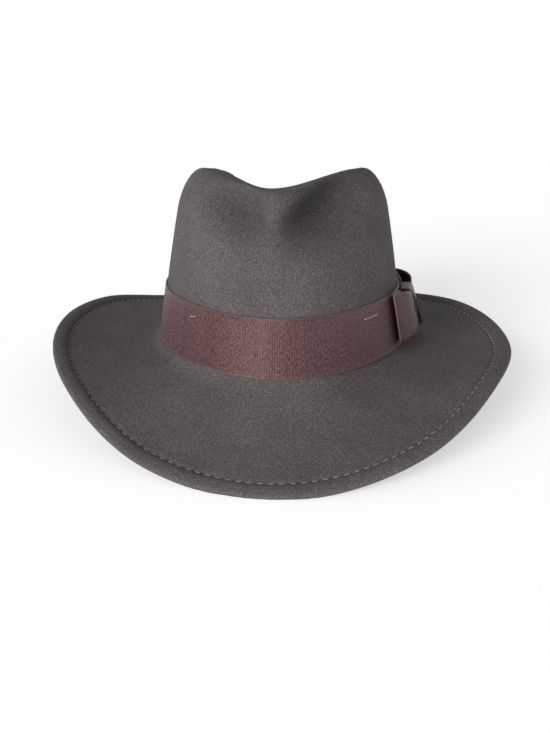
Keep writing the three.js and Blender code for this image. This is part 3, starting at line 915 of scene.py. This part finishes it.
class MakeBow(bpy.types.Operator):
    """Make the two loops of the bow and its knot"""
    bl_idname = "fedora.make_bow"
    bl_label = "Bow"
    bl_options = {"REGISTER", "UNDO"}

    def execute(self, context):
        scene = context.scene
        sizes = _, ribbon, bow = scene.fedora_felt, scene.fedora_ribbon, scene.fedora_bow
        material = bpy.data.materials.get("ribbed_ribbon") or ribbon_material(scene.fedora_colours, ribbon)
        front = (bow.front_reach, bow.front_stand, bow.front_taper, 1)
        back = (bow.back_reach, bow.back_stand, bow.back_taper, -1)
        add_piece("bow_loop_front", self.loop(*sizes, *front), material, "ribbon", "bow_front_loop")
        add_piece("bow_loop_back", self.loop(*sizes, *back), material, "ribbon", "bow_back_loop")
        add_piece("bow_knot_strip", self.knot(*sizes, (front, back)), material, "ribbon", "bow_knot")
        return {"FINISHED"}

    def loop(self, felt, ribbon, bow, reach, stand, taper, side):
        """One ribbon loop, open at its top and bottom; side is 1 for the front, -1 for the back"""
        def outline(place, level, inset=0.0):
            turn = 2 * pi * place
            run, rise = (0.5 + 0.5 * fuller(wave(turn), bow.roundness) for wave in (np.cos, np.sin))
            start = bow.knot_gap + inset
            x = start + (reach - inset - start) * run
            full = loop_height(bow, stand, taper, run) * stand_at(ribbon, bow, x, bow.middle + level)
            return np.stack([x, inset + (full - 2 * inset) * rise], axis=1)

        places, wave, around = ribbed(ribbon, lambda place: outline(place, 0.0))
        ups, faces = strip_section(RIBBON_ROWS)
        rows = []
        for up, face in zip(ups, faces):
            level = (up - 0.5) * bow.width
            curve = outline(places, level, ribbon.thickness * (1 - face) + wave * face)
            narrow = 1 - bow.narrowing * np.exp(-(curve[:, 0] / bow.knot_width) ** 2)
            z = bow.middle + level * narrow
            x = slant_bow(bow, side * curve[:, 0], z)
            rows.append(onto_ribbon(felt, ribbon, bow, x, curve[:, 1] + bow.loop_seat, z))
        return hoop(to_rest(felt, np.stack(rows)), around, ups * ribbon.width)

    def knot(self, felt, ribbon, bow, loops):
        """The knot: a strip of ribbon wound once around the ends of the loops"""
        half_width = bow.knot_width / 2
        highest = max(loop_height(bow, stand, taper, half_width / reach) for reach, stand, taper, _ in loops)
        reach_up = bow.knot_height / 2 / (1 - bow.narrowing)

        def outline(place, x):
            turn = 2 * pi * place + pi
            out, up = (fuller(wave(turn), bow.knot_roundness) for wave in (np.cos, np.sin))
            pressed = highest * stand_at(ribbon, bow, x, bow.middle + reach_up * up)
            stand = 2 * bow.loop_seat + bow.knot_ease + pressed
            return np.stack([stand / 2 * (1 + out), bow.middle + bow.knot_height / 2 * up], axis=1)

        places, wave, around = ribbed(ribbon, lambda place: outline(place, 0.0))
        ups, faces = strip_section(KNOT_ROWS)
        rows = []
        for up, face in zip(ups, faces):
            x = (up - 0.5) * bow.knot_width
            inset = ribbon.thickness * (1 - face) + wave * face
            y, z = inset_curve(outline(places, x), inset[:, None]).T
            rows.append(onto_ribbon(felt, ribbon, bow, slant_bow(bow, x, z), y, z))
        return hoop(to_rest(felt, np.stack(rows)), around, ups * ribbon.width)


class MakeStage(bpy.types.Operator):
    """Make the floor, the lights and the camera"""
    bl_idname = "fedora.make_stage"
    bl_label = "Stage"
    bl_options = {"REGISTER", "UNDO"}

    def execute(self, context):
        stage = context.scene.fedora_stage
        bm = bmesh.new()
        bmesh.ops.create_circle(bm, cap_ends=True, segments=96, radius=stage.floor_radius)
        mesh = bpy.data.meshes.new("floor")
        bm.to_mesh(mesh)
        bm.free()
        mesh.materials.append(floor_material(stage))
        floor = bpy.data.objects.new("floor", mesh)
        context.scene.collection.objects.link(floor)
        key = bpy.data.lights.new("key_light", "SUN")
        key.energy, key.angle = stage.key_power, stage.key_size
        lamp = bpy.data.objects.new("key_light", key)
        lamp.rotation_euler = Vector(stage.key_place).to_track_quat("Z", "Y").to_euler()
        context.scene.collection.objects.link(lamp)
        world = bpy.data.worlds.new("studio")
        world.use_nodes = True
        tree = world.node_tree
        direction = add_node(tree, "ShaderNodeTexCoord").outputs["Generated"]
        upward = add_node(tree, "ShaderNodeSeparateXYZ", {0: direction}).outputs[2]
        strength = remap(tree, upward, 0.0, 0.8, stage.horizon, stage.zenith)
        surround = tree.nodes["Background"]
        surround.inputs["Color"].default_value = (1, 1, 1, 1)
        tree.links.new(strength, surround.inputs["Strength"])
        context.scene.world = world
        context.scene.view_settings.view_transform = "Standard"
        data = bpy.data.cameras.new("camera")
        data.lens = stage.lens
        data.sensor_width = 36
        data.clip_start, data.clip_end = 0.01, 100
        camera = bpy.data.objects.new("camera", data)
        camera.location = stage.camera_place
        camera.rotation_euler = stage.camera_turn
        context.scene.collection.objects.link(camera)
        context.scene.camera = camera
        return {"FINISHED"}


class FedoraPanel(bpy.types.Panel):
    """Buttons and sizes of the fedora"""
    bl_idname = "VIEW3D_PT_fedora"
    bl_label = "Fedora"
    bl_space_type = "VIEW_3D"
    bl_region_type = "UI"
    bl_category = "Fedora"

    def draw(self, context):
        for operator in MAKERS:
            self.layout.operator(operator.bl_idname)
        for group in GROUPS:
            settings = getattr(context.scene, group)
            box = self.layout.box()
            for name in settings.__annotations__:
                box.prop(settings, name)


MAKERS = (MakeFelt, MakeStitches, MakeRibbon, MakeTacks, MakeBow, MakeStage)
GROUPS = {
    "fedora_felt": FeltSizes,
    "fedora_stitches": StitchSizes,
    "fedora_ribbon": RibbonSizes,
    "fedora_bow": BowSizes,
    "fedora_colours": HatColours,
    "fedora_stage": StageSettings,
}


def register():
    for kind in (*GROUPS.values(), *MAKERS, FedoraPanel):
        bpy.utils.register_class(kind)
    for name, kind in GROUPS.items():
        setattr(bpy.types.Scene, name, PointerProperty(type=kind))


def unregister():
    for name in GROUPS:
        delattr(bpy.types.Scene, name)
    for kind in (FedoraPanel, *reversed(MAKERS), *reversed(GROUPS.values())):
        bpy.utils.unregister_class(kind)


def main():
    register()
    bpy.ops.fedora.make_felt()
    bpy.ops.fedora.make_stitches()
    bpy.ops.fedora.make_ribbon()
    bpy.ops.fedora.make_tacks()
    bpy.ops.fedora.make_bow()
    bpy.ops.fedora.make_stage()


if __name__ == "__main__":
    main()
